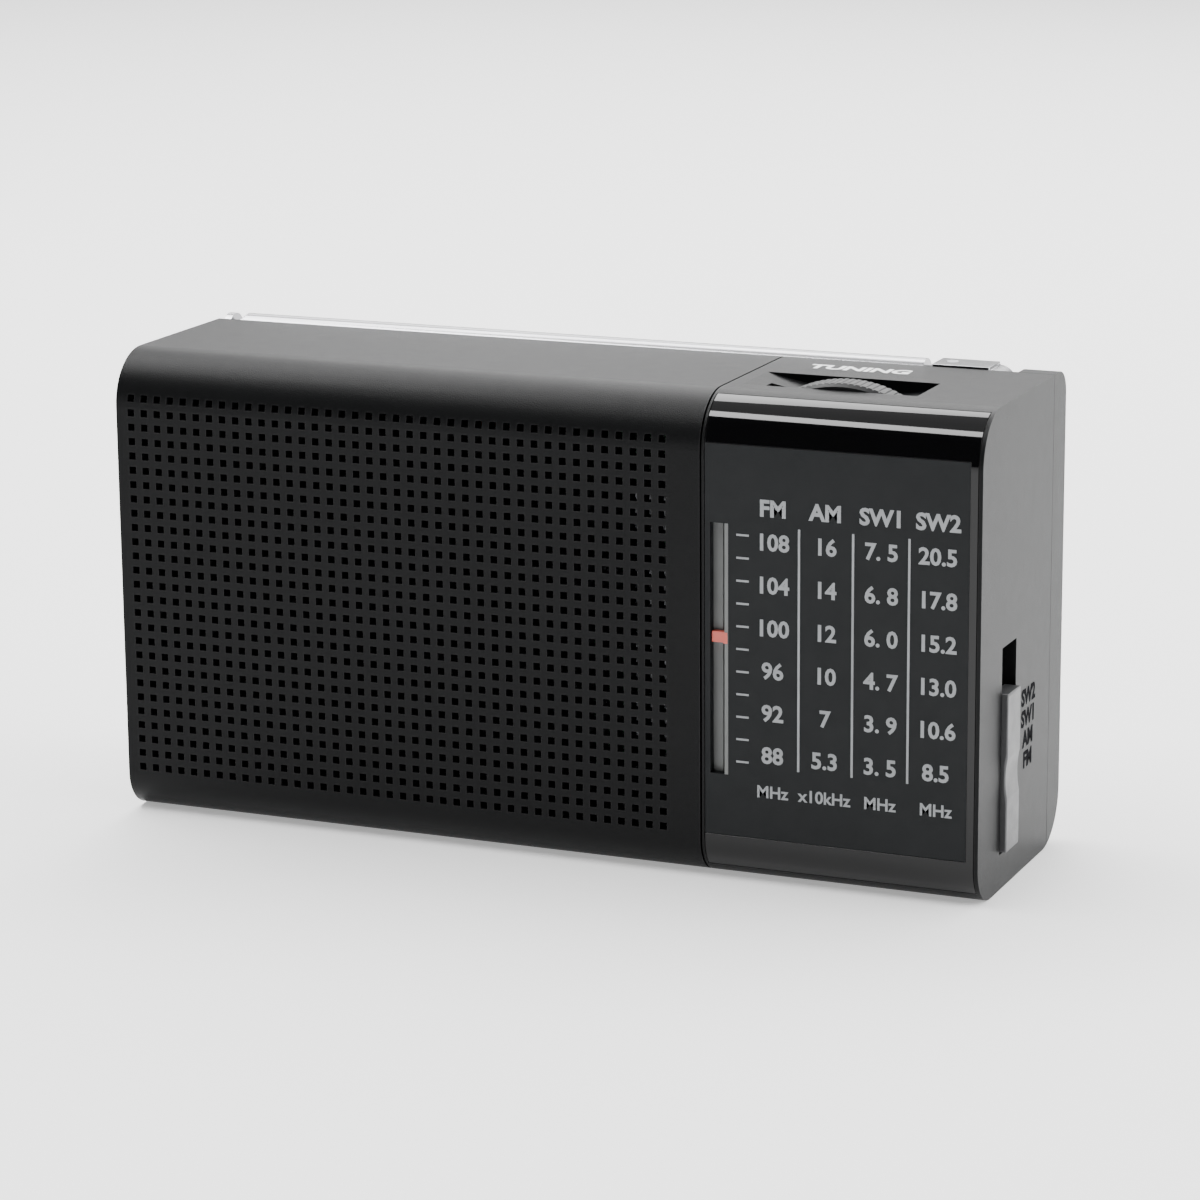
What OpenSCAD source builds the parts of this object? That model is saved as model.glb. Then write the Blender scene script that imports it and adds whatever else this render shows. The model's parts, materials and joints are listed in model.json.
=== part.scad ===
// Pocket shortwave receiver on its long side.
// Origin: centre of the bottom face. +X right, +Y to the rear, +Z up. Millimetres.

/* [Cabinet] */
// Overall width
body_w = 136; // [130:1:150]
// Overall height without the tuning wheel
body_h = 71; // [70:0.5:74]
// Overall depth
body_d = 39; // [38:0.5:42]
// Wall thickness
wall = 2; // [1.6:0.1:2.4]
// Radius of the top front edge
front_top_r = 8; // [5:0.5:9]
// Radius of the bottom front edge
front_low_r = 6; // [3:0.5:8]
// Radius of the bottom rear edge
rear_low_r = 8; // [4:0.5:9]
// Radius of the top rear edge
rear_top_r = 3.5; // [2:0.5:4]
// Gap between the two front shells
seam_gap = 0.3; // [0.1:0.1:0.5]

/* [Grille] */
// Distance from one hole to the next
hole_pitch = 2.2; // [2:0.1:2.4]
// Side of one square hole
hole_side = 1.1; // [0.8:0.1:1.3]
// Holes in one row
hole_columns = 40; // [10:1:40]
// Rows of holes
hole_rows = 27; // [10:1:27]

/* [Dial] */
// Thickness of the glossy front lens
lens_t = 1.4; // [1:0.1:1.6]
// Full travel of the pointer
pointer_travel = 35; // [30:1:36]
// Share of the travel that lies above the pointer at rest
pointer_share = 0.45; // [0.3:0.05:0.7]

/* [Tuning] */
// Radius of the tuning wheel
wheel_r = 18; // [17.5:0.1:18.2]
// Thickness of the tuning wheel
wheel_t = 4.5; // [3:0.5:5]
// Turn of the tuning wheel from stop to stop, in degrees
wheel_turn = 180; // [150:5:180]

/* [Speaker] */
// Outer diameter of the loudspeaker
speaker_d = 57; // [50:1:58]
// Depth of the loudspeaker
speaker_depth = 17; // [15:0.5:17]

/* [Batteries] */
// Diameter of a cell
cell_d = 14.2; // [14:0.1:14.5]
// Length of a cell without its button
cell_l = 49; // [48:0.5:49.2]

/* [Antenna] */
// Outer radius of the thickest tube
tube_r = 2.5; // [2.3:0.1:2.6]
// Wall of each tube
tube_wall = 0.25; // [0.2:0.05:0.3]
// Clearance between one tube and the next
tube_gap = 0.1; // [0.05:0.05:0.1]
// Length of the thickest tube
tube_l = 112; // [100:1:113]

/* [Hidden] */
$fn = 48;
half_w = body_w / 2;
front_y = -body_d / 2;
rear_y = body_d / 2;
// The front shells end where the rebate of the antenna begins.
split_y = rear_y - 6;
seam_x = half_w - 41.8;
grille_x = -half_w + 2.5;
grille_z = body_h - 6.6;
// Dial: the lens seat, the scale and the slot of the pointer
dial_x0 = seam_x + 0.6;
dial_x1 = half_w - 0.7;
scale_x1 = half_w - 1.8;
scale_z0 = 6.9;
scale_z1 = body_h - 6.6;
slot_x0 = seam_x + 1.4;
slot_x1 = seam_x + 3.6;
slot_z0 = 16;
slot_z1 = 52.9;
pointer_x = (slot_x0 + slot_x1) / 2;
pointer_z = slot_z1 - 1 - pointer_travel * pointer_share;
cord_y = front_y + 5.2;
cord_r = 0.25;
cord_circle_r = pointer_travel / (wheel_turn * PI / 180);
wheel_x = 43.3;
wheel_z = 54;
wheel_y = front_y + 10.8;
rib_depth = 0.12;
edge_chamfer = 0.5;
shaft_r = 2.98;
// Shallow finger scoop round the wheel, curved along X
recess_x0 = 28.5;
recess_x1 = 54.8;
recess_y0 = front_y + 10.5;
recess_y1 = recess_y0 + 10.2;
scoop_x = 44;
scoop_depth = 2;
scoop_half_l = scoop_x - recess_x0;
scoop_r = (pow(scoop_half_l, 2) + pow(scoop_depth, 2)) / (2 * scoop_depth);
wheel_slot_x0 = 31;
wheel_slot_y1 = wheel_y + wheel_t + 0.4;
wheel_room = 14.2;
pulley_r = 2.2;
pulley_x = pointer_x + pulley_r + cord_r + 0.1;
pulley_top_z = slot_z1 + 9.1;
pulley_low_z = slot_z0 - 4.2;
board_y = 4;
board_t = 1.6;
// Band slider on the right side
band_y0 = front_y + 10;
band_y1 = front_y + 16.6;
band_z0 = 5.3;
band_cover_l = 23.4;
band_travel = 6.6;
band_z1 = band_z0 + 0.3 + band_cover_l + band_travel + 0.2;
band_dent_z = band_z0 + 11.3;
band_dent_half_l = 3;
band_dent_depth = 0.3;
band_dent_r = (pow(band_dent_half_l, 2) + pow(band_dent_depth, 2)) / (2 * band_dent_depth);
// Volume wheel on the left side
volume_x = -half_w + 6.8;
volume_z = 48;
volume_y = -8;
volume_r = 7.8;
volume_t = 3;
volume_shaft_r = 1.5;
jack_z = 22;
jack_y = -6;
speaker_x = grille_x + (hole_columns - 1) * hole_pitch / 2;
speaker_z = body_h / 2;
speaker_y = front_y + wall + 0.6;
// Battery compartment in the rear shell
cells_x0 = -60.5;
cells_x1 = -4.5;
cells_z0 = 12;
cells_z1 = cells_z0 + 2 * (cell_d + 0.6);
cells_y0 = rear_y - 1.8 - cell_d - 0.5;
cell_y = cells_y0 + 0.25 + cell_d / 2;
door_t = 1.6;
door_x0 = cells_x0 - 1;
door_x1 = cells_x1 + 1;
door_z0 = cells_z0 - 1.5;
door_z1 = cells_z1 + 1.5;
// Antenna in its rebate
rebate_x1 = half_w - 5.5;
rebate_z = body_h - 6;
tube_y = rear_y - 2.5;
tube_z = body_h - 2;
pivot_x = rebate_x1 - 4.5;
pivot_z = body_h - 2.6;
elbow_x = pivot_x - 6.5;
pin_r = 0.85;
tube_x1 = elbow_x - 4;
tube_x0 = tube_x1 - tube_l;
function tube_radius(n) = tube_r - (n - 1) * (tube_wall + tube_gap);
screw_places = [[-63.4, 6.5], [-63.4, 59], [14, 6.5], [20.5, 59], [62.4, 41]];
board_places = [[6.5, 7], [61, 6], [20.5, 36]];
volume_board_y = -1.2;
volume_posts = [[-57, 12], [-57, 58]];
thick_wall = 2.6;
lens_y1 = front_y + 5.2;
lens_z0 = 2;
boss_bore_r = 1.1;
boss_r = 2.8;
post_bore_r = 0.8;
cell_low_z = cells_z0 + 0.3 + cell_d / 2;
cell_high_z = cells_z1 - 0.3 - cell_d / 2;
// Route of the cord: down past the pointer, round both pulleys and over the drum.
cord_sides = 8;
top_centre = [pulley_x, pulley_top_z];
low_centre = [pulley_x, pulley_low_z];
drum_centre = [wheel_x, wheel_z];
pulley_circle_r = pulley_r + cord_r + 0.1;
function bearing(a, b) = atan2(b[1] - a[1], b[0] - a[0]);
function lean(a, b, ra, rb) = acos((ra - rb) / norm(b - a));
function rim(c, r, angle) = c + r * [cos(angle), sin(angle)];
top_lean = lean(top_centre, drum_centre, pulley_circle_r, cord_circle_r);
low_lean = lean(low_centre, drum_centre, pulley_circle_r, cord_circle_r);
top_angle = bearing(top_centre, drum_centre) + top_lean;
low_angle = bearing(low_centre, drum_centre) - low_lean;
// Points round a circle, each with the direction away from the centre.
function wrap(c, r, from, to, steps) =
  [for (i = [0 : steps]) let (angle = from + (to - from) * i / steps) [rim(c, r, angle), angle]];
cord_route = concat(
  wrap(top_centre, pulley_circle_r, 180, top_angle, 8),
  wrap(drum_centre, cord_circle_r, top_angle, low_angle, 28),
  wrap(low_centre, pulley_circle_r, 360 + low_angle, 180, 12)
);

// Quarter of a square corner that a rounded edge of radius r leaves over.
module corner_waste(r) {
  difference() {
    square([r + 1, r + 1]);
    circle(r, $fn = 96);
  }
}

// Outline of the cabinet seen along X, drawn with Y across and Z up.
module outline(inset = 0) {
  difference() {
    translate([front_y + inset, inset])
      square([body_d - 2 * inset, body_h - 2 * inset]);
    translate([front_y + front_top_r, body_h - front_top_r])
      mirror([1, 0]) corner_waste(front_top_r - inset);
    translate([front_y + front_low_r, front_low_r])
      mirror([1, 0]) mirror([0, 1]) corner_waste(front_low_r - inset);
    translate([rear_y - rear_low_r, rear_low_r])
      mirror([0, 1]) corner_waste(rear_low_r - inset);
    translate([rear_y - rear_top_r, body_h - rear_top_r])
      corner_waste(rear_top_r - inset);
  }
}

// Straight bar along X with the outline of the cabinet.
module bar(x0, x1, inset = 0) {
  translate([x0, 0, 0])
    rotate([90, 0, 90]) linear_extrude(x1 - x0) outline(inset);
}

// Box between two corners.
module block(a, b) {
  translate(a) cube(b - a);
}

// Round bar of radius r along Y from y0 to y1.
module rod_y(x, z, y0, y1, r, fn = 48) {
  translate([x, y0, z]) rotate([-90, 0, 0]) cylinder(h = y1 - y0, r = r, $fn = fn);
}

// Round bar of radius r along X from x0 to x1.
module rod_x(y, z, x0, x1, r, fn = 48) {
  translate([x0, y, z]) rotate([0, 90, 0]) cylinder(h = x1 - x0, r = r, $fn = fn);
}

// Tube along X.
module tube_x(y, z, x0, x1, r, inner) {
  difference() {
    rod_x(y, z, x0, x1, r);
    rod_x(y, z, x0 - 1, x1 + 1, inner);
  }
}

// Tube along Y.
module tube_on_y(x, z, y0, y1, r, inner) {
  difference() {
    rod_y(x, z, y0, y1, r);
    rod_y(x, z, y0 - 1, y1 + 1, inner);
  }
}

// Screw boss of a front shell, from the front wall to the rear edge of the shell.
module boss(place, y0, y1, r, bore_r) {
  tube_on_y(place[0], place[1], y0, y1, r, bore_r);
}

module grille_holes() {
  for (column = [0 : hole_columns - 1], row = [0 : hole_rows - 1])
    translate([grille_x + column * hole_pitch - hole_side / 2, front_y - 1,
        grille_z - row * hole_pitch - hole_side / 2])
      cube([hole_side, wall + 1.5, hole_side]);
}

// Everything behind the front shells, and the rebate.
module rear_cut() {
  block([-half_w - 1, split_y, -1], [half_w + 1, rear_y + 1, body_h + 1]);
}

module speaker_cabinet() {
  inner_front = front_y + wall;
  color("#232425") {
    difference() {
      bar(-half_w, seam_x - seam_gap / 2);
      bar(-half_w + wall, seam_x + 1, wall);
      rear_cut();
      grille_holes();
      // Slot of the volume wheel and hole of the earphone socket
      block([-half_w - 1, volume_y - 1.9, volume_z - 6.6],
        [-half_w + wall + 1, volume_y + 1.9, volume_z + 6.6]);
      rod_x(jack_y, jack_z, -half_w - 1, -half_w + wall + 1, 3.15);
    }
    for (place = [for (p = screw_places) if (p[0] < seam_x) p])
      boss(place, inner_front - 0.2, split_y, boss_r, boss_bore_r);
    for (place = [board_places[0], board_places[2]])
      boss(place, inner_front - 0.2, board_y, 2.2, post_bore_r);
    for (place = volume_posts)
      boss(place, inner_front - 0.2, volume_board_y, 2, post_bore_r);
    // Collar round the loudspeaker
    tube_on_y(speaker_x, speaker_z, inner_front - 0.2, inner_front + 3,
      speaker_d / 2 + 1.6, speaker_d / 2 + 0.4);
  }
}

// Ring of the front panel between two depths below the outer surface.
module panel_ring(x0, x1, low, high) {
  difference() {
    bar(x0, x1, low);
    bar(x0 - 1, x1 + 1, high);
  }
}

// Scoop of the tuning wheel: a shallow cylinder along Y cut to the width of the recess.
module finger_scoop() {
  intersection() {
    rod_y(scoop_x, body_h + scoop_r - scoop_depth, recess_y0, recess_y1, scoop_r, 240);
    block([recess_x0 - 1, recess_y0, body_h - scoop_depth - 1], [recess_x1, recess_y1, body_h + 1]);
  }
}

module control_cabinet() {
  pad_z = body_h - scoop_depth - 1.8;
  color("#232425") {
    difference() {
      union() {
        difference() {
          bar(seam_x + seam_gap / 2, half_w);
          bar(seam_x - 1, half_w - thick_wall, thick_wall);
        }
        panel_ring(seam_x - 2.5, seam_x + 1, wall + 0.15, wall + 1.3);
        // Pad below the finger scoop
        block([recess_x0 - 1.2, recess_y0 - 1.2, pad_z], [recess_x1 + 1.2, recess_y1 + 1.2, body_h - 2]);
      }
      rear_cut();
      // Seat of the lens
      intersection() {
        panel_ring(dial_x0 - 0.1, dial_x1 + 0.1, -1, lens_t + 0.05);
        block([dial_x0 - 1, front_y - 2, lens_z0 - 0.1], [half_w, lens_y1 + 0.1, body_h + 2]);
      }
      // Window behind the slot of the pointer
      block([slot_x0 - 0.55, front_y, slot_z0 - 2.1],
        [slot_x1 + 0.25, front_y + thick_wall + 0.5, slot_z1 + 2.1]);
      // Finger scoop, and the slot and inner room of the tuning wheel
      finger_scoop();
      block([wheel_slot_x0, recess_y0, pad_z - 1], [recess_x1, wheel_slot_y1, body_h + 1]);
      block([wheel_x - wheel_room, recess_y0, pad_z - 1],
        [wheel_x + wheel_room, wheel_slot_y1, body_h - thick_wall]);
      // Room for the nut and the lip behind the antenna pivot
      block([pivot_x - 3.1, split_y - 3.7, body_h - 6], [pivot_x + 3.1, split_y + 1, body_h - 0.6]);
      block([half_w - 4, band_y0, band_z0], [half_w + 1, band_y1, band_z1]);
    }
    boss(screw_places[4], front_y + thick_wall - 0.2, split_y, boss_r, boss_bore_r);
    boss(board_places[1], front_y + thick_wall - 0.2, board_y, 2.2, post_bore_r);
  }
}

module dial_lens() {
  color("#050507")
    difference() {
      intersection() {
        panel_ring(dial_x0, dial_x1, 0, lens_t);
        block([dial_x0 - 1, front_y - 2, lens_z0], [half_w, lens_y1, body_h + 2]);
      }
      block([dial_x0 - 1, front_y - 1, scale_z0], [scale_x1, front_y + 3, scale_z1]);
    }
}

module dial_scale() {
  color("#2d3032")
    difference() {
      block([dial_x0, front_y + 0.1, scale_z0 + 0.05],
        [scale_x1 - 0.05, front_y + lens_t, scale_z1 - 0.05]);
      block([slot_x0, front_y - 1, slot_z0], [slot_x1, front_y + 3, slot_z1]);
    }
}

module pointer_guide() {
  color("#8e9092")
    block([slot_x0 - 0.45, front_y + lens_t + 0.15, slot_z0 - 2],
      [slot_x1 - 0.75, front_y + thick_wall, slot_z1 + 2]);
}

module dial_pointer() {
  color("#c0453a") {
    block([slot_x0 + 0.1, front_y + 0.5, pointer_z - 0.8],
      [slot_x1 - 0.1, front_y + lens_t, pointer_z + 0.8]);
    block([slot_x1 - 0.55, front_y + lens_t - 0.1, pointer_z - 0.8],
      [slot_x1 - 0.15, cord_y - cord_r - 0.3, pointer_z + 0.8]);
    block([pointer_x - 1.4, front_y + thick_wall + 0.3, pointer_z - 1.5],
      [slot_x1 - 0.15, cord_y - cord_r - 0.1, pointer_z + 1.5]);
  }
}

// Wheel with a groove for the cord, along Y.
module grooved_wheel(x, z, core_r, flange_r, bore_r) {
  difference() {
    union() {
      rod_y(x, z, cord_y - 0.9, cord_y + 0.9, core_r);
      rod_y(x, z, cord_y - 0.9, cord_y - 0.5, flange_r);
      rod_y(x, z, cord_y + 0.5, cord_y + 0.9, flange_r);
    }
    rod_y(x, z, cord_y - 2, cord_y + 2, bore_r);
  }
}

module pulley_top() {
  color("#d8d4c8") grooved_wheel(pulley_x, pulley_top_z, pulley_r, pulley_r + 0.3, 0.85);
}

module pulley_bottom() {
  color("#d8d4c8") grooved_wheel(pulley_x, pulley_low_z, pulley_r, pulley_r + 0.3, 0.85);
}

module pulley_posts() {
  color("silver")
    for (z = [pulley_top_z, pulley_low_z]) {
      rod_y(pulley_x, z, front_y + thick_wall, cord_y + 1.8, 0.8);
      rod_y(pulley_x, z, cord_y + 1.2, cord_y + 1.8, 1.3);
    }
}

// One closed loop of round cord swept along the route.
module dial_cord() {
  count = len(cord_route);
  rings = [for (stop = cord_route, side = [0 : cord_sides - 1])
    let (turn = 360 * side / cord_sides, out = cord_r * cos(turn), across = cord_r * sin(turn))
    [stop[0][0] + out * cos(stop[1]), cord_y + across, stop[0][1] + out * sin(stop[1])]];
  faces = [for (i = [0 : count - 1], side = [0 : cord_sides - 1])
    let (a = i * cord_sides, b = (i + 1) % count * cord_sides, next = (side + 1) % cord_sides)
    [a + side, a + next, b + next, b + side]];
  color("#c9c2ae") polyhedron(rings, faces);
}

// Disc along Y with a chamfer at both edges.
module chamfered_disc(x, z, y0, y1, r, chamfer, fn) {
  translate([x, y0, z]) rotate([-90, 0, 0]) {
    cylinder(h = chamfer, r1 = r - chamfer, r2 = r, $fn = fn);
    translate([0, 0, chamfer]) cylinder(h = y1 - y0 - 2 * chamfer, r = r, $fn = fn);
    translate([0, 0, y1 - y0 - chamfer]) cylinder(h = chamfer, r1 = r, r2 = r - chamfer, $fn = fn);
  }
}

// Fine grooves round the rim of a thumbwheel.
module rim_grooves(x, z, y0, y1, r, count, groove_r, depth) {
  for (rib = [0 : count - 1])
    rod_y(x + (r + groove_r - depth) * cos(rib * 360 / count),
      z + (r + groove_r - depth) * sin(rib * 360 / count),
      y0 - 1, y1 + 1, groove_r, 12);
}

module tuning_wheel() {
  rib_count = 120;
  bore_r = shaft_r + 0.02;
  wheel_y1 = wheel_y + wheel_t;
  color("#3a3b3c") {
    difference() {
      chamfered_disc(wheel_x, wheel_z, wheel_y, wheel_y1, wheel_r, edge_chamfer, 120);
      rod_y(wheel_x, wheel_z, wheel_y - 1, wheel_y1 + 1, bore_r);
      rim_grooves(wheel_x, wheel_z, wheel_y, wheel_y1, wheel_r, rib_count, 0.25, rib_depth);
    }
    tube_on_y(wheel_x, wheel_z, cord_y + 0.8, wheel_y + 0.1, 8, bore_r);
    grooved_wheel(wheel_x, wheel_z, cord_circle_r - cord_r - 0.1, cord_circle_r + 0.45, bore_r);
  }
}

module tuning_shaft() {
  color("#b8bcc0") {
    rod_y(wheel_x, wheel_z, cord_y - 0.4, -2, shaft_r);
    rod_y(wheel_x, wheel_z, cord_y - 0.9, cord_y - 0.4, 2);
  }
}

module tuning_capacitor() {
  case_y = wheel_y + wheel_t + 1.3;
  color("#d9d7cf")
    difference() {
      union() {
        block([wheel_x - 10, case_y, wheel_z - 10], [wheel_x + 10, board_y - 0.05, wheel_z + 10]);
        rod_y(wheel_x, wheel_z, case_y - 0.8, case_y + 0.5, 4.5);
      }
      rod_y(wheel_x, wheel_z, case_y - 2, -1.6, shaft_r + 0.06);
    }
}

module band_slider() {
  z0 = band_z0 + 0.3;
  cover_x = half_w + 0.9;
  color("#6b6d6e") {
    // Cover with a shallow dent for the finger
    difference() {
      block([half_w - 1.6, band_y0 + 0.3, z0], [cover_x, band_y1 - 0.3, z0 + band_cover_l]);
      rod_y(cover_x + band_dent_r - band_dent_depth, band_dent_z, band_y0 - 1, band_y1 + 1,
        band_dent_r, 240);
    }
    // Stem and flange that hold it in the wall
    block([half_w - 3.4, band_y0 + 2, z0 + 6], [half_w - 1.5, band_y1 - 2, z0 + 16]);
    block([half_w - 4.2, band_y0 - 0.9, z0 - 1.2],
      [half_w - 3.3, band_y1 + 0.9, z0 + band_cover_l - 2]);
  }
}

module band_wiper() {
  z = band_z0 + 11;
  color("#c9a24a")
    block([half_w - 7.4, band_y0 + 2.6, z - 1], [half_w - 4.2, band_y0 + 3.6, z + 1]);
}

module band_switch() {
  color("#9aa0a3")
    difference() {
      block([half_w - 13, band_y0 - 1, band_z0 + 4], [half_w - 5.4, board_y - 0.05, band_z0 + 28]);
      block([half_w - 7.8, band_y0 + 2.2, band_z0 + 9], [half_w - 5, band_y0 + 4, band_z0 + 22]);
    }
}

module volume_wheel() {
  rib_count = 48;
  y0 = volume_y - volume_t / 2;
  y1 = volume_y + volume_t / 2;
  color("#3a3b3c")
    difference() {
      chamfered_disc(volume_x, volume_z, y0, y1, volume_r, 0.3, 96);
      rod_y(volume_x, volume_z, y0 - 1, y1 + 1, volume_shaft_r + 0.05);
      rim_grooves(volume_x, volume_z, y0, y1, volume_r, rib_count, 0.3, 0.2);
    }
}

module volume_control() {
  color("#b3a06a") {
    difference() {
      block([volume_x - 3.6, volume_y + 2.2, volume_z - 7],
        [volume_x + 6.5, volume_board_y - 0.05, volume_z + 6]);
      block([volume_x - 4, volume_y + 1, volume_z - 8], [volume_x - 2.6, volume_y + 4, volume_z + 7]);
    }
    rod_y(volume_x, volume_z, volume_y - 1.5, volume_y + 2.3, volume_shaft_r);
  }
}

module volume_board() {
  color("#2c6b3f")
    difference() {
      block([-half_w + wall + 0.4, volume_board_y, 8], [-53, volume_board_y + board_t, 61]);
      for (place = volume_posts)
        rod_y(place[0], place[1], volume_board_y - 1, volume_board_y + board_t + 1, 0.9);
      for (place = [screw_places[0], screw_places[1]])
        rod_y(place[0], place[1], volume_board_y - 1, volume_board_y + board_t + 1, boss_r + 0.4);
    }
}

module earphone_jack() {
  color("#1b1b1c")
    difference() {
      union() {
        rod_x(jack_y, jack_z, -half_w, -half_w + 3, 3);
        block([-half_w + wall + 0.2, jack_y - 3.2, jack_z - 3.6],
          [-53.6, volume_board_y - 0.05, jack_z + 3.6]);
      }
      rod_x(jack_y, jack_z, -half_w - 1, -54.6, 1.8);
    }
}

// Shape turned about the axis of the loudspeaker: points give radius and distance from the front.
module turned(points) {
  translate([speaker_x, speaker_y, speaker_z])
    rotate([-90, 0, 0]) rotate_extrude($fn = 96) polygon(points);
}

module speaker_basket() {
  r = speaker_d / 2;
  color("#77797b")
    difference() {
      turned([[r - 3, 0], [r, 0], [r, 1], [r - 2.2, 1.2], [r - 14.5, 10], [r - 16, 10.6], [8, 10.6],
        [8, 9.8], [r - 17, 9.8], [r - 15.4, 9.2], [r - 3, 0.9]]);
      for (window = [0 : 3])
        translate([speaker_x, 0, speaker_z]) rotate([0, 45 + 90 * window, 0])
          block([-6, speaker_y + 3.2, r - 12.5], [6, speaker_y + 9, r - 3]);
    }
}

module speaker_cone() {
  r = speaker_d / 2;
  color("#1d1b1a")
    turned([[r - 3.4, 0.1], [r - 3.4, 0.5], [r - 5, 0.9], [r - 7, 0.6], [7, 7.2], [7, 6.7], [r - 7, 0.1],
      [r - 5, 0.4]]);
}

module dust_cap() {
  color("#141414")
    turned([[0, 4.2], [3, 4.5], [5.4, 5.3], [6.9, 6.7], [6.9, 7.1], [5.2, 5.8], [3, 5], [0, 4.7]]);
}

module speaker_magnet() {
  color("#4a4a4d") {
    rod_y(speaker_x, speaker_z, speaker_y + 10.7, speaker_y + 11.4, 12.5);
    rod_y(speaker_x, speaker_z, speaker_y + 11.4, speaker_y + speaker_depth - 1, 11);
    rod_y(speaker_x, speaker_z, speaker_y + speaker_depth - 1, speaker_y + speaker_depth - 0.4, 12);
  }
}

module grille_cloth() {
  color("#0d0d0d")
    rod_y(speaker_x, speaker_z, front_y + wall + 0.05, front_y + wall + 0.5, speaker_d / 2 - 0.6, 96);
}

module main_board() {
  color("#2c6b3f")
    difference() {
      block([-2.2, board_y, 3.4], [half_w - 3.6, board_y + board_t, 62]);
      for (place = screw_places)
        rod_y(place[0], place[1], 0, 10, boss_r + 0.4);
      for (place = board_places)
        rod_y(place[0], place[1], 0, 10, 1);
    }
}

module radio_chip() {
  chip_x = 30;
  chip_z = 24;
  leg_pitch = 1.9;
  color("#101012") {
    block([chip_x, board_y - 2, chip_z], [chip_x + 16, board_y - 0.25, chip_z + 7]);
    for (leg = [0 : 7], foot_z = [chip_z - 1.4, chip_z + 7])
      block([chip_x + 1 + leg * leg_pitch, board_y - 0.9, foot_z],
        [chip_x + 1.7 + leg * leg_pitch, board_y - 0.05, foot_z + 1.4]);
  }
}

module if_transformers() {
  color("#c7c9cc")
    for (z = [18, 28.5, 39, 49.5])
      difference() {
        block([9, board_y - 9, z - 3.5], [16, board_y - 0.05, z + 3.5]);
        rod_y(12.5, z, board_y - 10, board_y - 7, 1.8);
      }
}

module electrolytic_capacitors() {
  color("#23304d")
    for (place = [[24.5, 12], [33, 13], [42, 12], [51, 15], [51, 26]])
      rod_y(place[0], place[1], board_y - 8, board_y - 0.05, 3);
}

module ferrite_rod() {
  color("#3c3733") rod_x(8, 54, -56, -4, 4);
}

module ferrite_coil() {
  color("#b5652b")
    for (span = [[-40, -26], [-22, -17]])
      tube_x(8, 54, span[0], span[1], 4.9, 4.05);
}

module rod_holders() {
  color("#e5e3dc")
    for (x = [-50, -10])
      difference() {
        block([x - 1.5, 3.6, cells_z1 + 1.6], [x + 1.5, 11, 59]);
        rod_x(8, 54, x - 2, x + 2, 4.05);
      }
}

module rear_cabinet() {
  inner_y = rear_y - wall;
  color("#232425") {
    difference() {
      union() {
        difference() {
          bar(-half_w, half_w);
          bar(-half_w + wall, half_w - wall, wall);
          block([-half_w - 1, front_y - 1, -1], [half_w + 1, split_y + 0.1, body_h + 1]);
        }
        // Floor and lip of the rebate
        block([-half_w + wall + 0.1, split_y - 1.6, rebate_z - 2],
          [half_w - thick_wall - 0.1, split_y + 0.2, rebate_z]);
        block([-half_w, split_y + 0.1, rebate_z - 2], [half_w - 1, inner_y + 0.1, rebate_z]);
        block([-half_w + wall + 0.1, split_y - 1.6, rebate_z - 0.1],
          [half_w - thick_wall - 0.1, split_y - 0.1, body_h - 3.4]);
        block([pivot_x - 2.9, split_y - 1.6, rebate_z - 0.1],
          [pivot_x + 2.9, split_y + 0.15, body_h - 0.8]);
        block([rebate_x1, split_y + 0.1, rebate_z - 1],
          [rebate_x1 + 1.6, inner_y + 0.5, body_h - 1]);
        // Walls of the battery compartment
        block([cells_x0 - 1.5, cells_y0 - 1.5, cells_z0 - 1.5],
          [cells_x1 + 1.5, inner_y + 0.2, cells_z1 + 1.5]);
        for (place = screw_places)
          rod_y(place[0], place[1], split_y + 0.1, inner_y + 0.1, 3);
      }
      block([-half_w - 1, split_y + 0.15, rebate_z], [rebate_x1, rear_y + 1, body_h + 1]);
      block([cells_x0, cells_y0, cells_z0], [cells_x1, rear_y + 1, cells_z1]);
      // Channel of the battery door, open at the left end
      block([-half_w - 1, rear_y - door_t, door_z0], [door_x1, rear_y + 1, door_z1]);
      block([-half_w - 1, rear_y - door_t, door_z0 - 0.8],
        [door_x1, rear_y - 0.8, door_z1 + 0.8]);
      // Screws
      for (place = screw_places) {
        rod_y(place[0], place[1], split_y - 1, rear_y + 1, 1.3);
        rod_y(place[0], place[1], rear_y - 2.6, rear_y + 1, 2.5);
      }
      rod_y(pivot_x, pivot_z, split_y - 3, split_y + 1, 1.3);
    }
  }
}

module battery_door() {
  groove_x = -half_w + 5;
  groove_z = speaker_z - 16;
  groove_pitch = 1.8;
  color("#232425")
    difference() {
      union() {
        block([-half_w + 0.05, rear_y - door_t + 0.15, door_z0 + 0.2],
          [door_x1 - 0.2, rear_y - 0.02, door_z1 - 0.2]);
        block([-half_w + 1, rear_y - door_t + 0.15, door_z0 - 0.6],
          [door_x1 - 0.2, rear_y - 0.95, door_z1 + 0.6]);
      }
      // Thumb grooves
      for (groove = [0 : 5])
        block([groove_x + groove * groove_pitch, rear_y - 0.5, groove_z],
          [groove_x + 0.9 + groove * groove_pitch, rear_y + 1, groove_z + 14]);
    }
}

module battery_1() {
  color("#a8741f") cell_right(cell_low_z);
}

module battery_2() {
  color("#a8741f") cell_left(cell_high_z);
}

// Cell with its button towards +X.
module cell_right(z) {
  x1 = cells_x1 - 0.65;
  rod_x(cell_y, z, x1 - 1 - cell_l, x1 - 1, cell_d / 2, 72);
  rod_x(cell_y, z, x1 - 1.2, x1, 2.7);
}

// Cell with its button towards -X.
module cell_left(z) {
  x0 = cells_x0 + 0.65;
  rod_x(cell_y, z, x0 + 1, x0 + 1 + cell_l, cell_d / 2, 72);
  rod_x(cell_y, z, x0, x0 + 1.2, 2.7);
}

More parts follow.
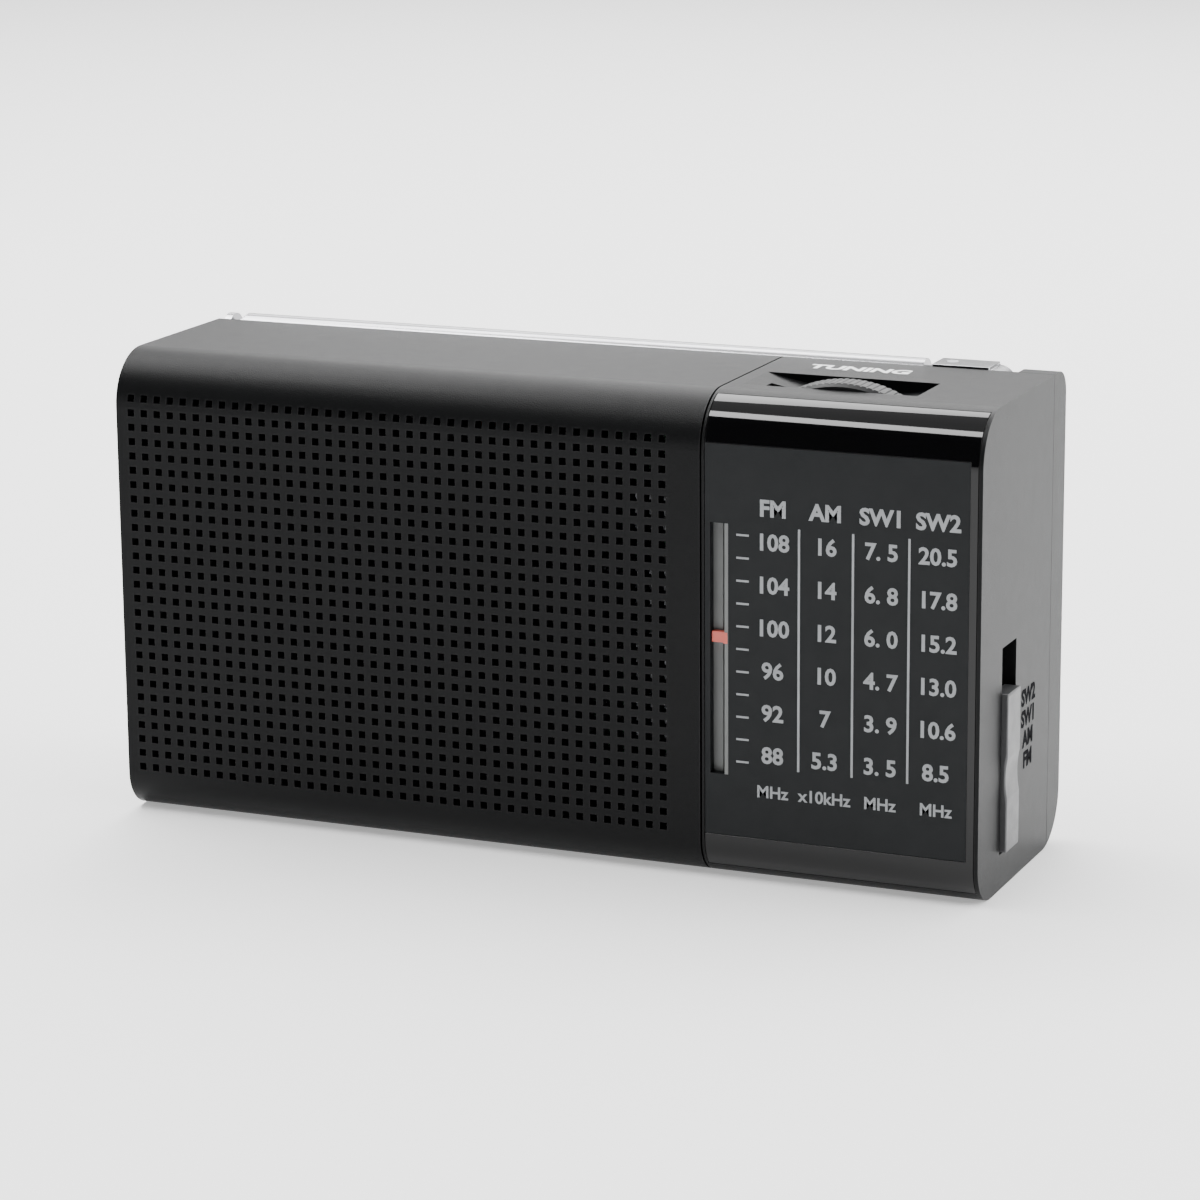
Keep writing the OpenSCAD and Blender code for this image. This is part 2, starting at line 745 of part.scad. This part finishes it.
module battery_contacts() {
  color("#c9ccd0")
    for (x = [cells_x0 + 0.05, cells_x1 - 0.5], z = [cell_low_z, cell_high_z])
      block([x, cell_y - 5, z - 5.5], [x + 0.45, cell_y + 5, z + 5.5]);
}

module battery_springs() {
  color("#c9ccd0") {
    spring_turns(cells_x0 + 0.85, cell_low_z, 1);
    spring_turns(cells_x1 - 0.85, cell_high_z, -1);
  }
}

// Turns of a conical spring, growing narrower towards the cell.
module spring_turns(x, z, direction) {
  for (turn = [0 : 4])
    translate([x + direction * turn * 0.95, cell_y, z])
      rotate([0, 90, 0]) rotate_extrude($fn = 48) translate([4.6 - 0.5 * turn, 0]) circle(0.32, $fn = 16);
}

module antenna_knuckle() {
  fork_half = 1.3;
  rear_face = tube_y + 2.4;
  color("#c9ccd0")
    difference() {
      union() {
        rod_y(pivot_x, pivot_z, split_y + 0.3, rear_face, 2.45);
        block([elbow_x - 2.3, split_y + 0.5, tube_z - 2.3], [pivot_x, rear_face, tube_z + 2.3]);
      }
      block([elbow_x - 3, split_y - 1, tube_z - fork_half],
        [elbow_x + 2.7, rear_face + 1, tube_z + fork_half]);
      rod_y(pivot_x, pivot_z, split_y - 1, rear_face + 1, 1.25);
      rod_y(pivot_x, pivot_z, tube_y + 0.9, rear_face + 1, 2.2);
      translate([elbow_x, tube_y, tube_z - 4]) cylinder(h = 8, r = pin_r);
    }
}

module antenna_screw() {
  color("#9fa3a7") {
    rod_y(pivot_x, pivot_z, split_y - 3, tube_y + 1, 1.2);
    rod_y(pivot_x, pivot_z, tube_y + 1, tube_y + 2, 2);
    tube_on_y(pivot_x, pivot_z, split_y - 3.2, split_y - 1.7, 1.9, 1.2);
  }
}

module antenna_pin() {
  color("#9fa3a7")
    translate([elbow_x, tube_y, tube_z - 2.3]) cylinder(h = 4.6, r = pin_r);
}

module antenna_root() {
  color("#c9ccd0") {
    difference() {
      union() {
        translate([elbow_x, tube_y, tube_z - 1.15]) cylinder(h = 2.3, r = 2);
        block([tube_x1 - 0.5, tube_y - 1.8, tube_z - 1.15], [elbow_x, tube_y + 1.8, tube_z + 1.15]);
      }
      translate([elbow_x, tube_y, tube_z - 4]) cylinder(h = 8, r = pin_r + 0.06);
    }
    rod_x(tube_y, tube_z, tube_x1 - 3, tube_x1, tube_r - tube_wall);
    tube_x(tube_y, tube_z, tube_x0, tube_x1, tube_r, tube_r - tube_wall);
  }
}

module antenna_section(n) {
  x0 = tube_x0 - 0.5 * (n - 1);
  x1 = tube_x1 - 3.2 - 0.4 * (n - 1);
  color("#c9ccd0") tube_x(tube_y, tube_z, x0, x1, tube_radius(n), tube_radius(n) - tube_wall);
}

module antenna_section_2() { antenna_section(2); }
module antenna_section_3() { antenna_section(3); }
module antenna_section_4() { antenna_section(4); }

module antenna_section_5() {
  color("#c9ccd0")
    rod_x(tube_y, tube_z, tube_x0 - 2.2, tube_x1 - 5.2, tube_radius(5));
}

module antenna_tip() {
  color("#c9ccd0")
    rod_x(tube_y, tube_z, -half_w + 0.1, tube_x0 - 2.2, tube_r - 0.1);
}

module cabinet_screws() {
  color("#5c5f62")
    for (place = screw_places) {
      rod_y(place[0], place[1], split_y - 9, rear_y - 2.6, 1.05);
      difference() {
        rod_y(place[0], place[1], rear_y - 2.6, rear_y - 1.2, 2.2);
        for (turn = [0, 90])
          translate([place[0], rear_y, place[1]]) rotate([0, turn, 0])
            block([-1.3, -2, -0.25], [1.3, 0, 0.25]);
      }
    }
}

module board_screws() {
  color("#5c5f62") {
    for (place = board_places) {
      rod_y(place[0], place[1], board_y - 4, board_y + board_t, 0.75);
      rod_y(place[0], place[1], board_y + board_t, board_y + board_t + 1, 1.8);
    }
    for (place = volume_posts) {
      rod_y(place[0], place[1], volume_board_y - 4, volume_board_y + board_t, 0.75);
      rod_y(place[0], place[1], volume_board_y + board_t, volume_board_y + board_t + 0.8, 1.8);
    }
  }
}

speaker_cabinet();
control_cabinet();
rear_cabinet();
dial_lens();
dial_scale();
pointer_guide();
dial_pointer();
dial_cord();
pulley_top();
pulley_bottom();
pulley_posts();
tuning_wheel();
tuning_shaft();
tuning_capacitor();
band_slider();
band_wiper();
band_switch();
volume_wheel();
volume_control();
volume_board();
earphone_jack();
speaker_basket();
speaker_cone();
dust_cap();
speaker_magnet();
grille_cloth();
main_board();
radio_chip();
if_transformers();
electrolytic_capacitors();
ferrite_rod();
ferrite_coil();
rod_holders();
battery_door();
battery_1();
battery_2();
battery_springs();
battery_contacts();
antenna_knuckle();
antenna_screw();
antenna_pin();
antenna_root();
antenna_section_2();
antenna_section_3();
antenna_section_4();
antenna_section_5();
antenna_tip();
cabinet_screws();
board_screws();
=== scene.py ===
"""Pocket shortwave receiver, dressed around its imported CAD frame. Lengths are in metres."""
import json
import math

import bmesh
import bpy
from mathutils import Matrix, Vector


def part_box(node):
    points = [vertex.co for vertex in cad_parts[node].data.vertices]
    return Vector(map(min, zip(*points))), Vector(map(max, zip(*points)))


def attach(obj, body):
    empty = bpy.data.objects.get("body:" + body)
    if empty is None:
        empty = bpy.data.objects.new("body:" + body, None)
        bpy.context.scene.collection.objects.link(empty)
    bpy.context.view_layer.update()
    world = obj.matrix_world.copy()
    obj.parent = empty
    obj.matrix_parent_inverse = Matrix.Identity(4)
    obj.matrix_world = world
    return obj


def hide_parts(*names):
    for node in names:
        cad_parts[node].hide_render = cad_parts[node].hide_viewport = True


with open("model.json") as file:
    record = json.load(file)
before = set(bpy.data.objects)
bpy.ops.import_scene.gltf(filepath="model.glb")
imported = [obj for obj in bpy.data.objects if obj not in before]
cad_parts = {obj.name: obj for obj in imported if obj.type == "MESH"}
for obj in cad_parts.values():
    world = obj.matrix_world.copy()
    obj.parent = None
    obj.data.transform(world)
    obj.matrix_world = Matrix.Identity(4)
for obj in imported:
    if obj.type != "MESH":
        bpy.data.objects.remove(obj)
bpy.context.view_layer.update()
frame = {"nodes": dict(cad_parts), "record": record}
NODES = frame["nodes"]
MM = 0.001
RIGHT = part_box("control_cabinet")[1].x
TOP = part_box("speaker_cabinet")[1].z
DIAL_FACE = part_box("dial_scale")[0].y


# ---------------------------------------------------------------- materials
CLOUD_SCALE = 90.0      # uneven colour, patches of about 10 mm
STREAK_SCALE = 380.0    # uneven gloss, patches of about 3 mm
WORN_EDGE = 0.35 * MM
BUMP_DEPTH = 0.0002
COAT_ROUGHNESS = 0.08
THREADS_TO_SCALE = 0.31  # a wave texture's scale for one thread per pitch


class Nodes:
    """Small helper that adds shader nodes and joins them."""

    def __init__(self, name):
        self.material = bpy.data.materials.new(name)
        self.material.use_nodes = True
        self.tree = self.material.node_tree
        self.shader = self.tree.nodes["Principled BSDF"]
        self.place = self.add("ShaderNodeTexCoord").outputs["Object"]

    def add(self, kind, **values):
        node = self.tree.nodes.new(kind)
        for key, value in values.items():
            setattr(node, key, value)
        return node

    def join(self, out, socket):
        self.tree.links.new(out, socket)

    def noise(self, scale, detail=3.0, rough=0.5, stretch=(1, 1, 1)):
        mapping = self.add("ShaderNodeMapping")
        mapping.inputs["Scale"].default_value = stretch
        self.join(self.place, mapping.inputs["Vector"])
        node = self.add("ShaderNodeTexNoise")
        node.inputs["Scale"].default_value = scale
        node.inputs["Detail"].default_value = detail
        node.inputs["Roughness"].default_value = rough
        self.join(mapping.outputs[0], node.inputs["Vector"])
        return node.outputs["Fac"]

    def spread(self, value, low, high, start=0.3, end=0.7):
        """Maps start...end to low...high; noise lies mostly between 0.3 and 0.7."""
        node = self.add("ShaderNodeMapRange")
        limits = {"From Min": start, "From Max": end, "To Min": low, "To Max": high}
        for key, number in limits.items():
            node.inputs[key].default_value = number
        self.join(value, node.inputs["Value"])
        return node.outputs[0]

    def mix(self, factor, first, second):
        node = self.add("ShaderNodeMix", data_type="RGBA")
        self.join(factor, node.inputs["Factor"])
        for socket, value in ((node.inputs["A"], first), (node.inputs["B"], second)):
            if isinstance(value, tuple):
                socket.default_value = (*value, 1)
            else:
                self.join(value, socket)
        return node.outputs["Result"]

    def edges(self, amount):
        """Lighter where the surface turns sharply: worn edges."""
        bevel = self.add("ShaderNodeBevel", samples=4)
        bevel.inputs["Radius"].default_value = WORN_EDGE
        geometry = self.add("ShaderNodeNewGeometry")
        dot = self.add("ShaderNodeVectorMath", operation="DOT_PRODUCT")
        self.join(bevel.outputs[0], dot.inputs[0])
        self.join(geometry.outputs["Normal"], dot.inputs[1])
        return self.spread(dot.outputs["Value"], amount, 0.0, 0.75, 0.98)

    def bump(self, height, strength):
        node = self.add("ShaderNodeBump")
        node.inputs["Strength"].default_value = strength
        node.inputs["Distance"].default_value = BUMP_DEPTH
        self.join(height, node.inputs["Height"])
        self.join(node.outputs[0], self.shader.inputs["Normal"])


def surface(name, color, rough, metal=0.0, grain=2600.0, grain_depth=0.02, mottle=0.12,
            stretch=(1, 1, 1), specular=0.5, coat=0.0, wear=0.0, wear_color=(0.3, 0.3, 0.3),
            rough_spread=0.06):
    """Moulded, painted or rolled: mottled colour, uneven gloss, fine grain and rubbed edges."""
    n = Nodes(name)
    cloud = n.spread(n.noise(CLOUD_SCALE, 4.0), 0.0, 1.0)
    dark = tuple(c * (1 - mottle) for c in color)
    light = tuple(min(1.0, c * (1 + mottle)) for c in color)
    tint = n.mix(cloud, dark, light)
    if wear:
        tint = n.mix(n.edges(wear), tint, wear_color)
    n.join(tint, n.shader.inputs["Base Color"])
    streak = n.noise(STREAK_SCALE, 5.0, 0.6, stretch)
    gloss = n.spread(streak, rough - rough_spread, rough + rough_spread)
    n.join(gloss, n.shader.inputs["Roughness"])
    n.bump(n.noise(grain, 2.0, 0.5, stretch), grain_depth)
    n.shader.inputs["Metallic"].default_value = metal
    n.shader.inputs["Specular IOR Level"].default_value = specular
    n.shader.inputs["Coat Weight"].default_value = coat
    n.shader.inputs["Coat Roughness"].default_value = COAT_ROUGHNESS
    return n.material


def woven(name, color, pitch):
    """Coarse cloth: two crossing waves set the threads."""
    n = Nodes(name)
    heights = []
    for axis in ("X", "Z"):
        wave = n.add("ShaderNodeTexWave", wave_type="BANDS", bands_direction=axis)
        wave.inputs["Scale"].default_value = THREADS_TO_SCALE / pitch
        wave.inputs["Distortion"].default_value = 0.4
        n.join(n.place, wave.inputs["Vector"])
        heights.append(wave.outputs["Fac"])
    both = n.add("ShaderNodeMath", operation="MULTIPLY")
    n.join(heights[0], both.inputs[0])
    n.join(heights[1], both.inputs[1])
    gaps = tuple(c * 0.5 for c in color)
    n.join(n.mix(both.outputs[0], gaps, color), n.shader.inputs["Base Color"])
    n.bump(both.outputs[0], 0.5)
    n.shader.inputs["Roughness"].default_value = 0.9
    return n.material


CABINET = surface("cabinet_plastic", (0.0045, 0.0047, 0.005), 0.36, grain=6200.0, grain_depth=0.22,
                  mottle=0.06, specular=0.1, wear=0.3, wear_color=(0.04, 0.04, 0.04),
                  rough_spread=0.012)
LENS = surface("lens_gloss", (0.0008, 0.0008, 0.0011), 0.045, grain=220.0, grain_depth=0.012,
               mottle=0.05, rough_spread=0.012, specular=0.32)
SCALE = surface("scale_print", (0.008, 0.009, 0.0098), 0.42, grain=4200.0, grain_depth=0.06,
                mottle=0.06, specular=0.14)
GUIDE = surface("guide_grey", (0.125, 0.13, 0.128), 0.5, grain=2400.0, grain_depth=0.05)
RED = surface("pointer_red", (0.52, 0.09, 0.065), 0.35, mottle=0.08, grain=2400.0)
KNOB = surface("knob_plastic", (0.014, 0.0145, 0.015), 0.38, grain=4200.0, grain_depth=0.12,
               wear=0.3, wear_color=(0.06, 0.06, 0.06), specular=0.25)
SLIDER = surface("slider_plastic", (0.045, 0.046, 0.048), 0.4, grain=4200.0, grain_depth=0.12,
                 wear=0.3, wear_color=(0.14, 0.14, 0.14))
CHROME = surface("chrome", (0.3, 0.3, 0.31), 0.2, metal=1.0, grain=500.0, grain_depth=0.015,
                 mottle=0.04, stretch=(0.08, 1, 1), rough_spread=0.03)
STEEL = surface("plated_steel", (0.5, 0.51, 0.53), 0.3, metal=1.0, grain=900.0, grain_depth=0.06,
                stretch=(0.15, 1, 1))
INK = surface("dial_ink", (0.25, 0.26, 0.27), 0.55, mottle=0.15, grain=2600.0)
WHITE_INK = surface("top_ink", (0.85, 0.85, 0.85), 0.5, mottle=0.05)
DARK_INK = surface("side_ink", (0.012, 0.012, 0.013), 0.9, mottle=0.15, specular=0.0)
INNER = {
    "nylon": surface("nylon", (0.62, 0.6, 0.53), 0.45, mottle=0.06),
    "film_capacitor": surface("film_capacitor", (0.62, 0.6, 0.54), 0.42, mottle=0.06),
    "brass": surface("brass", (0.62, 0.42, 0.15), 0.28, metal=1.0),
    "phenolic": surface("phenolic", (0.24, 0.13, 0.05), 0.5, mottle=0.3, stretch=(1, 1, 0.1)),
    "board": surface("solder_mask", (0.02, 0.11, 0.045), 0.32, mottle=0.25, wear=0.6,
                     wear_color=(0.35, 0.3, 0.16)),
    "socket": surface("socket_plastic", (0.008, 0.008, 0.009), 0.25),
    "paper": surface("cone_paper", (0.014, 0.013, 0.012), 0.85, grain=1500.0, grain_depth=0.4,
                     mottle=0.35),
    "magnet": surface("magnet", (0.06, 0.06, 0.065), 0.5, metal=0.4),
    "cloth": woven("grille_cloth", (0.004, 0.004, 0.004), 0.5 * MM),
    "capacitor": surface("capacitor_sleeve", (0.02, 0.03, 0.08), 0.25, coat=0.5),
    "ferrite": surface("ferrite", (0.035, 0.03, 0.027), 0.6, grain=1800.0, grain_depth=0.3,
                       mottle=0.3),
    "coil": surface("coil_wire", (0.5, 0.17, 0.05), 0.3, metal=1.0, grain=2400.0, grain_depth=0.5,
                    stretch=(1, 0.05, 0.05)),
    "cell": surface("cell_sleeve", (0.4, 0.19, 0.03), 0.25, coat=0.6),
    "cord": woven("dial_cord", (0.5, 0.45, 0.33), 0.25 * MM),
}
BY_SLOT = {
    "cabinet": CABINET, "lens": LENS, "scale": SCALE, "guide": GUIDE, "pointer": RED, "knob": KNOB,
    "slider": SLIDER, "chrome": CHROME, "steel": STEEL, **INNER,
}


# ---------------------------------------------------------------- CAD nodes
CRISP_ANGLE = 28.0     # degrees
EDGE_ANGLE = 40
SAME_POINT = 0.002 * MM
EDGE_WIDTHS = {        # millimetres
    "dial_pointer": 0.1, "band_slider": 0.25, "battery_door": 0.2, "antenna_tip": 0.5,
    "antenna_knuckle": 0.25, "main_board": 0.1, "if_transformers": 0.3,
    "control_cabinet": 0.3, "rear_cabinet": 0.3, "speaker_cabinet": 0.12,
    "dial_lens": 0.05, "tuning_wheel": 0.12, "volume_wheel": 0.12,
}


def smooth(obj):
    """Round faces shade smoothly, and edges sharper than CRISP_ANGLE stay crisp."""
    mesh = obj.data
    work = bmesh.new()
    work.from_mesh(mesh)
    for face in work.faces:
        face.smooth = True
    for edge in work.edges:
        edge.smooth = edge.is_manifold and edge.calc_face_angle(math.pi) < math.radians(CRISP_ANGLE)
    work.to_mesh(mesh)
    work.free()


def soften(obj, width):
    """Small rounded edge, as a moulded or turned piece has."""
    weld = obj.modifiers.new("weld", "WELD")
    weld.merge_threshold = SAME_POINT
    bevel = obj.modifiers.new("edge", "BEVEL")
    bevel.width = width
    bevel.segments = 2
    bevel.limit_method = "ANGLE"
    bevel.angle_limit = math.radians(EDGE_ANGLE)
    bevel.use_clamp_overlap = True
    bevel.harden_normals = False
    normals = obj.modifiers.new("normals", "WEIGHTED_NORMAL")
    normals.keep_sharp = True


for part in frame["record"]["subparts"]:
    node = NODES[part["node"]]
    node.data.materials.clear()
    node.data.materials.append(BY_SLOT[part["material_slot"]])
    smooth(node)
for name, width in EDGE_WIDTHS.items():
    soften(NODES[name], width * MM)


# ---------------------------------------------------------------- printing
INK_PROUD = 0.02 * MM    # how far a printed bar stands out of its face
INK_DEEP = 0.05 * MM
LETTER_DEPTH = 0.03 * MM
FACING = {
    "front": Matrix.Rotation(math.radians(90), 4, "X"),
    "top": Matrix.Identity(4),
    "right": Matrix.Rotation(math.radians(90), 4, "Z") @ Matrix.Rotation(math.radians(90), 4, "X"),
}


def place(obj, body):
    bpy.context.scene.collection.objects.link(obj)
    bpy.context.view_layer.update()
    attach(obj, body)


def lettering(name, text, size, at, facing, ink, bold=0.02):
    """One printed word or number on the cabinet's body, standing 0.03 mm out of its face."""
    curve = bpy.data.curves.new(name, "FONT")
    curve.body = text
    curve.size = size
    curve.align_x = "CENTER"
    curve.align_y = "CENTER"
    curve.extrude = LETTER_DEPTH
    curve.offset = bold * size
    curve.resolution_u = 3
    curve.materials.append(ink)
    obj = bpy.data.objects.new(name, curve)
    obj.matrix_world = Matrix.Translation(at) @ FACING[facing]
    place(obj, "cabinet")


def bar(name, low, high, material, body):
    """Printed bar with slightly rounded corners."""
    mesh = bpy.data.meshes.new(name)
    work = bmesh.new()
    bmesh.ops.create_cube(work, size=1.0)
    for vert in work.verts:
        vert.co = Vector(low[i] + (vert.co[i] + 0.5) * (high[i] - low[i]) for i in range(3))
    thin = min(high[i] - low[i] for i in range(3))
    bmesh.ops.bevel(work, geom=list(work.edges), offset=thin * 0.3, segments=2, affect="EDGES")
    work.to_mesh(mesh)
    work.free()
    mesh.materials.append(material)
    place(bpy.data.objects.new(name, mesh), body)


def dial_print():
    """Headings, figures, units, dividers and ticks. Places are in millimetres."""
    columns = {
        "FM": (37.1, ["108", "104", "100", "96", "92", "88"], "MHz"),
        "AM": (45.0, ["16", "14", "12", "10", "7", "5.3"], "x10kHz"),
        "SW1": (53.3, ["7. 5", "6. 8", "6. 0", "4. 7", "3. 9", "3. 5"], "MHz"),
        "SW2": (61.6, ["20.5", "17.8", "15.2", "13.0", "10.6", "8.5"], "MHz"),
    }
    head_z, first_z, row_step, unit_z = 55.4, 50.5, 6.24, 13.9
    head_size, figure_size, unit_size = 3.3 * MM, 3.35 * MM, 2.5 * MM
    for band, (x, numbers, unit) in columns.items():
        top = (x * MM, DIAL_FACE, head_z * MM)
        foot = (x * MM, DIAL_FACE, unit_z * MM)
        lettering(f"head_{band}", band, head_size, top, "front", INK, 0.034)
        lettering(f"unit_{band}", unit, unit_size, foot, "front", INK)
        for row, number in enumerate(numbers):
            at = (x * MM, DIAL_FACE, (first_z - row * row_step) * MM)
            tag = number.replace(" ", "").replace(".", "_")
            lettering(f"{band}_{tag}", number, figure_size, at, "front", INK, 0.026)
    low_y, high_y = DIAL_FACE - INK_DEEP, DIAL_FACE + INK_PROUD
    divider_low_z, divider_high_z, half_divider = 17.5 * MM, 52.9 * MM, 0.17 * MM
    for index, x in enumerate((41.05, 49.1, 57.4)):
        bar(f"divider_{index}", (x * MM - half_divider, low_y, divider_low_z),
            (x * MM + half_divider, high_y, divider_high_z), INK, "cabinet")
    tick_low_x, tick_high_x, half_tick = 31.6 * MM, 33.5 * MM, 0.15 * MM
    first_tick_z, tick_step = 51.4, 3.33
    for tick in range(11):
        z = (first_tick_z - tick * tick_step) * MM
        bar(f"tick_{tick}", (tick_low_x, low_y, z - half_tick),
            (tick_high_x, high_y, z + half_tick), INK, "cabinet")


def pointer_print():
    """Grey border beside the slot, and the part of the pointer that crosses it."""
    pointer_low, pointer_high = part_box("dial_pointer")
    edge, outer = 29.8 * MM, 30.35 * MM
    slot_low_z, slot_high_z = 16.0 * MM, 52.9 * MM
    bar("slot_border", (edge, DIAL_FACE - INK_PROUD, slot_low_z),
        (outer, DIAL_FACE + INK_PROUD, slot_high_z), GUIDE, "cabinet")
    middle, half_flag = (pointer_low.z + pointer_high.z) / 2, 0.8 * MM
    flag_front, flag_back = DIAL_FACE - 0.09 * MM, DIAL_FACE - 0.03 * MM
    bar("pointer_flag", (edge - 0.15 * MM, flag_front, middle - half_flag),
        (outer - 0.1 * MM, flag_back, middle + half_flag), RED, "dial_pointer")


def side_print():
    """Band names beside the slider, and the word behind the thumbwheel."""
    first_z, row_step, band_y, band_size = 25.8, 3.15, 3.3 * MM, 3.3 * MM
    for index, band in enumerate(("SW2", "SW1", "AM", "FM")):
        at = (RIGHT, band_y, (first_z - row_step * index) * MM)
        lettering(f"side_{band}", band, band_size, at, "right", DARK_INK, 0.04)
    word_at = (40.5 * MM, 7.5 * MM, TOP)
    lettering("tuning_label", "TUNING", 4.0 * MM, word_at, "top", WHITE_INK, 0.04)


def battery_springs():
    """Conical wire springs, one at each end of the battery compartment."""
    low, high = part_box("battery_springs")
    wire, wide, narrow, turns, stops = 0.32 * MM, 4.6 * MM, 2.6 * MM, 5, 120
    stack_length = 4.44 * MM
    length = stack_length - 2 * wire
    reach = wide + wire
    curve = bpy.data.curves.new("battery_spring_wire", "CURVE")
    curve.dimensions = "3D"
    curve.bevel_depth = wire
    curve.bevel_resolution = 3
    curve.use_fill_caps = True
    y = (low.y + high.y) / 2
    for x, z, way in ((low.x + wire, low.z + reach, 1), (high.x - wire, high.z - reach, -1)):
        spline = curve.splines.new("POLY")
        spline.points.add(stops - 1)
        for index, point in enumerate(spline.points):
            share = index / (stops - 1)
            angle = 2 * math.pi * turns * share
            radius = wide + (narrow - wide) * share
            across, up = radius * math.cos(angle), radius * math.sin(angle)
            point.co = (x + way * length * share, y + across, z + up, 1)
    curve.materials.append(STEEL)
    obj = bpy.data.objects.new("battery_spring_wire", curve)
    place(obj, "cabinet")
    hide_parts("battery_springs")


dial_print()
pointer_print()
side_print()
battery_springs()


# ---------------------------------------------------------------- stage, light and camera
def floor_material():
    n = Nodes("floor")
    n.shader.inputs["Base Color"].default_value = (0.9, 0.9, 0.9, 1)
    n.shader.inputs["Roughness"].default_value = 0.8
    n.shader.inputs["Specular IOR Level"].default_value = 0.1
    n.shader.inputs["Emission Color"].default_value = (1, 1, 1, 1)
    n.shader.inputs["Emission Strength"].default_value = 0.4
    return n.material


def stage():
    mesh = bpy.data.meshes.new("floor")
    reach = 3.0
    corners = [(-reach, -reach, 0), (reach, -reach, 0), (reach, reach, 0), (-reach, reach, 0)]
    mesh.from_pydata(corners, [], [(0, 1, 2, 3)])
    mesh.materials.append(floor_material())
    floor = bpy.data.objects.new("floor", mesh)
    bpy.context.scene.collection.objects.link(floor)


def area_light(name, at, aim, width, height, power):
    data = bpy.data.lights.new(name, "AREA")
    data.shape = "RECTANGLE"
    data.size = width
    data.size_y = height
    data.energy = power
    light = bpy.data.objects.new(name, data)
    bpy.context.scene.collection.objects.link(light)
    light.location = at
    light.rotation_euler = (Vector(aim) - Vector(at)).to_track_quat("-Z", "Y").to_euler()


def studio_world():
    """Bright behind the object, dark on the camera's side, and plain white as a backdrop."""
    world = bpy.data.worlds.new("studio")
    bpy.context.scene.world = world
    world.use_nodes = True
    tree = world.node_tree
    background = tree.nodes["Background"]
    background.inputs[0].default_value = (1, 1, 1, 1)
    coordinates = tree.nodes.new("ShaderNodeTexCoord")
    split = tree.nodes.new("ShaderNodeSeparateXYZ")
    tree.links.new(coordinates.outputs["Generated"], split.inputs[0])
    depth = tree.nodes.new("ShaderNodeMapRange")
    dark, bright, backdrop = 0.08, 1.05, 9.0
    limits = {"From Min": -0.42, "From Max": -0.3, "To Min": dark, "To Max": bright}
    for key, value in limits.items():
        depth.inputs[key].default_value = value
    tree.links.new(split.outputs["Y"], depth.inputs["Value"])
    path = tree.nodes.new("ShaderNodeLightPath")
    plain = tree.nodes.new("ShaderNodeMix")
    plain.inputs["B"].default_value = backdrop
    tree.links.new(path.outputs["Is Camera Ray"], plain.inputs["Factor"])
    tree.links.new(depth.outputs[0], plain.inputs["A"])
    tree.links.new(plain.outputs["Result"], background.inputs[1])


def lights():
    studio_world()
    centre = (0, 0, 0.04)
    area_light("back_top", (0.1, 1.0, 0.8), centre, 1.8, 0.7, 18)
    area_light("right", (1.1, 0.25, 0.3), centre, 0.9, 0.9, 22)
    dial = (0.045, -0.015, 0.07)
    area_light("overhead_strip", (-0.36, -0.33, 1.0), dial, 1.1, 0.14, 11)
    area_light("rear_strip", (-0.41, 0.46, 1.07), dial, 1.1, 0.36, 17)


def camera():
    stand = Vector((0.2373, -0.5509, 0.1810))
    look = Vector((-0.3812, 0.8936, -0.2370))
    roll = math.radians(-0.46)
    data = bpy.data.cameras.new("camera")
    data.lens = 123.95
    data.sensor_width = 36
    data.clip_start, data.clip_end = 0.01, 20
    cam = bpy.data.objects.new("camera", data)
    bpy.context.scene.collection.objects.link(cam)
    cam.matrix_world = (
        Matrix.Translation(stand)
        @ look.to_track_quat("-Z", "Y").to_matrix().to_4x4()
        @ Matrix.Rotation(roll, 4, "Z")
    )
    bpy.context.scene.camera = cam


stage()
lights()
camera()
